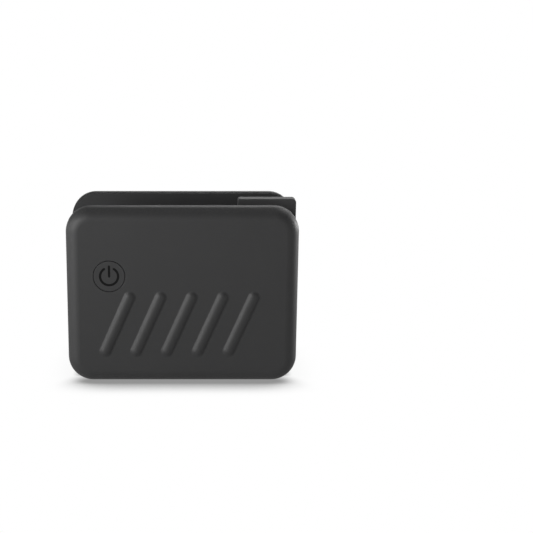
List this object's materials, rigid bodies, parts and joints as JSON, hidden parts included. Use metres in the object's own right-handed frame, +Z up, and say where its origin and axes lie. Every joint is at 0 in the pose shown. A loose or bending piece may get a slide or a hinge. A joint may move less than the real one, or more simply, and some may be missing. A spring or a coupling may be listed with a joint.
{
  "type": "electric knife sharpener",
  "caption": "Block-shaped motor-driven knife sharpener with two upright walls, a blade channel between them, a slim wheel hood, a round power button and slanted grip ribs.",
  "frame": {"origin": "on the table, under the middle of the body", "axes": "+X along the body towards the grinding end, +Y from the front wall to the rear wall, +Z up"},
  "size_m": [0.165, 0.0802, 0.13],
  "materials": {
    "shell_plastic": "fine matte texture",
    "frame_plastic": "fine matte texture",
    "guide_plastic": "smooth satin",
    "hood_plastic": "smooth satin",
    "button_plastic": "fine matte texture",
    "mark_ink": "smooth",
    "tray_plastic": "fine matte texture",
    "chamber_plastic": "moulded",
    "pulley_plastic": "moulded acetal",
    "abrasive": "fine grit",
    "steel": "machined and plated",
    "screw_steel": "black zinc",
    "bronze": "sintered",
    "copper": "enamelled wire",
    "iron": "laminated",
    "rubber": "soft",
    "board": "solder mask",
    "chips": "moulded",
    "cell_wrap": "shrink wrap",
    "light_lens": "frosted",
    "lead_insulation": "flexible insulation"
  },
  "bodies": {
    "housing": {"front_shell": "shell_plastic", "rear_shell": "shell_plastic", "core_frame": "frame_plastic", "front_wall_plate": "frame_plastic", "rear_wall_plate": "frame_plastic", "tray_rails": "chamber_plastic", "guide_insert": "guide_plastic", "wheel_hood": "hood_plastic", "wheel_chamber": "chamber_plastic", "shaft_bushings": "bronze", "drive_belt": "rubber", "motor_can": "steel", "motor_end_cap": "chamber_plastic", "motor_magnets": "iron", "motor_brushes": "bronze", "motor_cradle": "chamber_plastic", "motor_strap": "steel", "cell_holder": "chamber_plastic", "cells": "cell_wrap", "cell_straps": "steel", "main_board": "board", "board_parts": "chips", "usb_port": "steel", "charge_light": "light_lens", "tact_switch": "chamber_plastic", "switch_board": "board", "front_shell_screws": "screw_steel", "rear_shell_screws": "screw_steel", "guide_screws": "screw_steel", "cradle_screws": "screw_steel", "rail_screws": "screw_steel", "strap_screws": "screw_steel", "holder_screws": "screw_steel", "board_screws": "screw_steel", "switch_board_screws": "screw_steel", "rubber_feet": "rubber", "cell_leads": "lead_insulation", "motor_leads": "lead_insulation", "switch_leads": "lead_insulation"},
    "button": {"power_button": "button_plastic", "power_mark": "mark_ink", "switch_stem": "chamber_plastic"},
    "motor_rotor": {"motor_shaft": "steel", "motor_armature": "iron", "motor_windings": "copper", "commutator": "bronze", "motor_pulley": "pulley_plastic"},
    "grinding_spindle": {"wheel_shaft": "steel", "front_grinding_wheel": "abrasive", "rear_grinding_wheel": "abrasive", "wheel_spacer": "steel", "shaft_clips": "steel", "driven_pulley": "pulley_plastic"},
    "tray": {"dust_tray": "tray_plastic"}
  },
  "joints": [
    {"name": "button_press", "type": "slide", "parent": "housing", "child": "button", "axis": [0, 1, 0], "range_m": [0, 0.001], "stiffness_N_per_m": 900, "springref_m": -0.001},
    {"name": "motor_spin", "type": "hinge", "parent": "housing", "child": "motor_rotor", "pos_m": [0.0115, 0, 0.04], "axis": [0, 1, 0], "continuous": true},
    {"name": "wheel_spin", "type": "hinge", "parent": "housing", "child": "grinding_spindle", "pos_m": [0.0595, 0, 0.074], "axis": [0, 1, 0], "continuous": true},
    {"name": "tray_slide", "type": "slide", "parent": "housing", "child": "tray", "axis": [1, 0, 0], "range_m": [0, 0.038]}
  ],
  "couplings": [
    {"joint": "wheel_spin", "follows": "motor_spin", "ratio": 0.66667}
  ]
}
